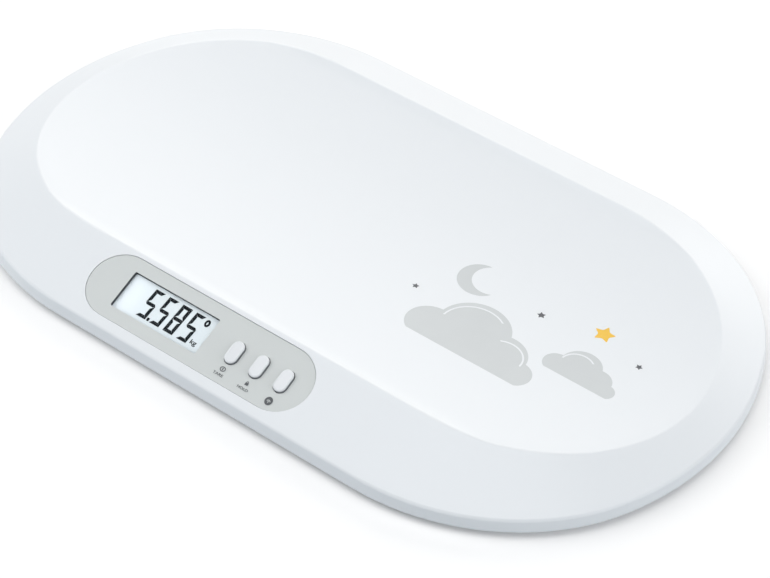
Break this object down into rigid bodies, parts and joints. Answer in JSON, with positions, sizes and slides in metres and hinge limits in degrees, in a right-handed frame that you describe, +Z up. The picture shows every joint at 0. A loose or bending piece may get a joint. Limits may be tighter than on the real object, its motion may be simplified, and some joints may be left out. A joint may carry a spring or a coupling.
{
  "type": "digital baby weighing scale",
  "caption": "Digital baby scale with a trough-shaped white tray, a sloping oval rim and a grey control deck with a display and push buttons.",
  "frame": {"origin": "point of the floor under the middle of the pan", "axes": "+X along the tray, left to right for a person at the control deck; the deck is on the -Y side; +Z up"},
  "size_m": [0.5382, 0.3476, 0.0359],
  "materials": {
    "tray_plastic": "smooth white moulding, soft gloss",
    "base_plastic": "white moulding, fine matt",
    "fascia_plastic": "light grey, matt",
    "frame_plastic": "dark grey, matt",
    "clear_plastic": "clear, polished",
    "display_glass": "pale blue-grey behind glass",
    "diffuser_plastic": "translucent white",
    "strip_rubber": "matt",
    "button_plastic": "smooth white",
    "plunger_plastic": "black",
    "switch_body": "black resin",
    "board_laminate": "green solder mask",
    "chip_resin": "black resin",
    "shield_steel": "tinned",
    "socket_plastic": "natural nylon",
    "cell_steel": "stamped, plated",
    "foot_plastic": "white moulding",
    "pad_rubber": "grey, matt",
    "gauge_sealant": "white silicone",
    "screw_steel": "zinc plated",
    "battery_jacket": "printed jacket, plain",
    "contact_steel": "nickel plated spring steel",
    "lead_insulation": "grey soft vinyl"
  },
  "bodies": {
    "scale_body": {"base_shell": "base_plastic", "battery_cell_1": "battery_jacket", "battery_cell_2": "battery_jacket", "battery_cell_3": "battery_jacket", "battery_leads": "lead_insulation", "board_components": "chip_resin", "board_screws": "screw_steel", "contact_bridge_left": "contact_steel", "contact_bridge_right": "contact_steel", "contact_negative": "contact_steel", "contact_positive": "contact_steel", "contact_strips": "strip_rubber", "control_fascia": "fascia_plastic", "controller_chip": "chip_resin", "display_backlight": "diffuser_plastic", "display_frame": "frame_plastic", "display_window": "clear_plastic", "foot_cup_front_left": "foot_plastic", "foot_cup_front_right": "foot_plastic", "foot_cup_rear_left": "foot_plastic", "foot_cup_rear_right": "foot_plastic", "foot_pad_front_left": "pad_rubber", "foot_pad_front_right": "pad_rubber", "foot_pad_rear_left": "pad_rubber", "foot_pad_rear_right": "pad_rubber", "hold_switch": "switch_body", "housing_screws": "screw_steel", "lcd_glass": "display_glass", "lead_sockets": "socket_plastic", "load_cell_front_left": "cell_steel", "load_cell_front_right": "cell_steel", "load_cell_leads": "lead_insulation", "load_cell_rear_left": "cell_steel", "load_cell_rear_right": "cell_steel", "load_cell_screws": "screw_steel", "main_board": "board_laminate", "power_tare_switch": "switch_body", "strain_gauges": "gauge_sealant", "tray_shell": "tray_plastic", "wireless_module": "shield_steel", "wireless_switch": "switch_body"},
    "power_tare_button_body": {"power_tare_button": "button_plastic", "power_tare_plunger": "plunger_plastic"},
    "hold_button_body": {"hold_button": "button_plastic", "hold_plunger": "plunger_plastic"},
    "wireless_button_body": {"wireless_button": "button_plastic", "wireless_plunger": "plunger_plastic"},
    "battery_door_body": {"battery_door": "base_plastic"}
  },
  "joints": [
    {"name": "power_tare_press", "type": "slide", "parent": "scale_body", "child": "power_tare_button_body", "axis": [0, 0.4083, -0.9128], "range_m": [0, 0.0005], "stiffness_N_per_m": 300, "springref_m": -0.001},
    {"name": "hold_press", "type": "slide", "parent": "scale_body", "child": "hold_button_body", "axis": [0, 0.4083, -0.9128], "range_m": [0, 0.0005], "stiffness_N_per_m": 300, "springref_m": -0.001},
    {"name": "wireless_press", "type": "slide", "parent": "scale_body", "child": "wireless_button_body", "axis": [0, 0.4083, -0.9128], "range_m": [0, 0.0005], "stiffness_N_per_m": 300, "springref_m": -0.001},
    {"name": "battery_door_hinge", "type": "hinge", "parent": "scale_body", "child": "battery_door_body", "pos_m": [0, 0.0634, 0.006], "axis": [1, 0, 0], "range_deg": [0, 60]}
  ]
}
